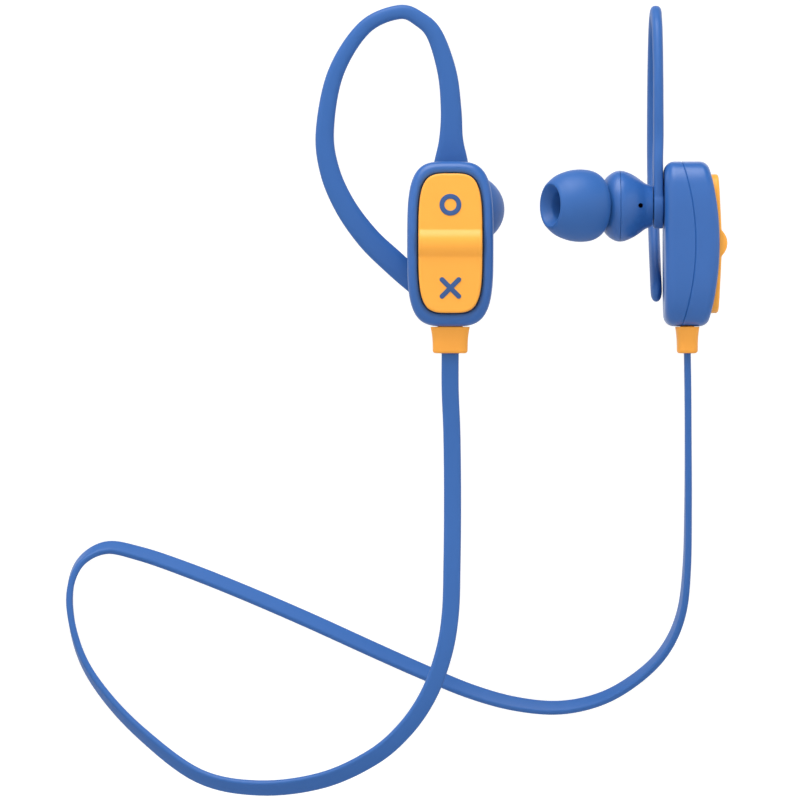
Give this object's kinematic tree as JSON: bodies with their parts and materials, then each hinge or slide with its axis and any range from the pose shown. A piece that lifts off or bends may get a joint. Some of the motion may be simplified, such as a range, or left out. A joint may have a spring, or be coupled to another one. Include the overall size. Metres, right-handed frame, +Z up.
{
  "type": "neckband earphones",
  "caption": "In-ear earphones with over-ear hooks, a rocker key on each pod and one flat cable that joins the pods behind the neck.",
  "frame": {"origin": "on the axis of the right earpiece's stem, at the flat back face of its pod, where it meets the wearer's ear", "axes": "+Y into the right ear along the stem, +Z up, and +X forward on the right earpiece and towards the left earpiece, which is turned a quarter turn about Z"},
  "size_m": [0.1154, 0.0355, 0.1381],
  "materials": {
    "blue_plastic": "satin",
    "amber_plastic": "fine satin",
    "sign_plastic": "satin",
    "amber_rubber": "matte",
    "blue_silicone": "soft matte",
    "cable_sleeve": "soft matte",
    "steel": "drawn",
    "driver_metal": "pressed",
    "switch_metal": "pressed",
    "mesh_metal": "woven",
    "plunger_plastic": "matte",
    "circuit_board": "solder mask",
    "wire_sleeve": "matte",
    "cell_foil": "foil"
  },
  "bodies": {
    "earpieces": {"right_front_shell": "blue_plastic", "right_rear_shell": "blue_plastic", "right_key_pin": "steel", "right_key_board": "circuit_board", "right_switches": "switch_metal", "right_strain_relief": "amber_rubber", "right_lock_ring": "steel", "right_driver_rear_housing": "blue_plastic", "right_driver_front_housing": "blue_plastic", "right_driver": "driver_metal", "right_driver_leads": "wire_sleeve", "right_nozzle_mesh": "mesh_metal", "left_front_shell": "blue_plastic", "left_rear_shell": "blue_plastic", "left_key_pin": "steel", "left_key_board": "circuit_board", "left_switches": "switch_metal", "left_strain_relief": "amber_rubber", "left_lock_ring": "steel", "left_driver_rear_housing": "blue_plastic", "left_driver_front_housing": "blue_plastic", "left_driver": "driver_metal", "left_driver_leads": "wire_sleeve", "left_nozzle_mesh": "mesh_metal", "neck_cable": "cable_sleeve", "right_main_board": "circuit_board", "right_radio_module": "driver_metal", "right_usb_port": "switch_metal", "left_battery": "cell_foil"},
    "right_rocker": {"right_key": "amber_plastic", "right_ring_sign": "sign_plastic", "right_cross_sign": "sign_plastic"},
    "right_upper_button": {"right_upper_plunger": "plunger_plastic"},
    "right_lower_button": {"right_lower_plunger": "plunger_plastic"},
    "right_hook": {"right_ear_hook": "blue_silicone", "right_hook_wire": "steel"},
    "right_tip": {"right_ear_tip": "blue_silicone"},
    "left_rocker": {"left_key": "amber_plastic", "left_ring_sign": "sign_plastic", "left_cross_sign": "sign_plastic"},
    "left_upper_button": {"left_upper_plunger": "plunger_plastic"},
    "left_lower_button": {"left_lower_plunger": "plunger_plastic"},
    "left_hook": {"left_ear_hook": "blue_silicone", "left_hook_wire": "steel"},
    "left_tip": {"left_ear_tip": "blue_silicone"},
    "usb_cover": {"right_usb_flap": "blue_silicone"}
  },
  "joints": [
    {"name": "right_key_rock", "type": "hinge", "parent": "earpieces", "child": "right_rocker", "pos_m": [0, -0.00785, -0.00655], "axis": [1, 0, 0], "range_deg": [-2.2, 2.2], "stiffness_Nm_per_rad": 0.05},
    {"name": "right_upper_press", "type": "slide", "parent": "earpieces", "child": "right_upper_button", "axis": [0, 1, 0], "range_m": [-0.00026, 0.00026]},
    {"name": "right_lower_press", "type": "slide", "parent": "earpieces", "child": "right_lower_button", "axis": [0, 1, 0], "range_m": [-0.00026, 0.00026]},
    {"name": "right_hook_swivel", "type": "hinge", "parent": "earpieces", "child": "right_hook", "pos_m": [0, 0.001, 0], "axis": [0, 1, 0], "range_deg": [-20, 20]},
    {"name": "right_tip_pull", "type": "slide", "parent": "earpieces", "child": "right_tip", "axis": [0.454, 0.891, 0], "range_m": [0, 0.007]},
    {"name": "left_key_rock", "type": "hinge", "parent": "earpieces", "child": "left_rocker", "pos_m": [0.0451, -0.0041, -0.00655], "axis": [0, 1, 0], "range_deg": [-2.2, 2.2], "stiffness_Nm_per_rad": 0.05},
    {"name": "left_upper_press", "type": "slide", "parent": "earpieces", "child": "left_upper_button", "axis": [-1, 0, 0], "range_m": [-0.00026, 0.00026]},
    {"name": "left_lower_press", "type": "slide", "parent": "earpieces", "child": "left_lower_button", "axis": [-1, 0, 0], "range_m": [-0.00026, 0.00026]},
    {"name": "left_hook_swivel", "type": "hinge", "parent": "earpieces", "child": "left_hook", "pos_m": [0.03625, -0.0041, 0], "axis": [1, 0, 0], "range_deg": [-20, 20]},
    {"name": "left_tip_pull", "type": "slide", "parent": "earpieces", "child": "left_tip", "axis": [-0.891, -0.454, 0], "range_m": [0, 0.007]},
    {"name": "usb_flap_open", "type": "hinge", "parent": "earpieces", "child": "usb_cover", "pos_m": [-0.0075, -0.00293, -0.01225], "axis": [0, -1, 0], "range_deg": [0, 110]}
  ],
  "couplings": [
    {"joint": "right_upper_press", "follows": "right_key_rock", "m_per_rad": -0.0066},
    {"joint": "right_lower_press", "follows": "right_key_rock", "m_per_rad": 0.0066},
    {"joint": "left_upper_press", "follows": "left_key_rock", "m_per_rad": -0.0066},
    {"joint": "left_lower_press", "follows": "left_key_rock", "m_per_rad": 0.0066}
  ]
}
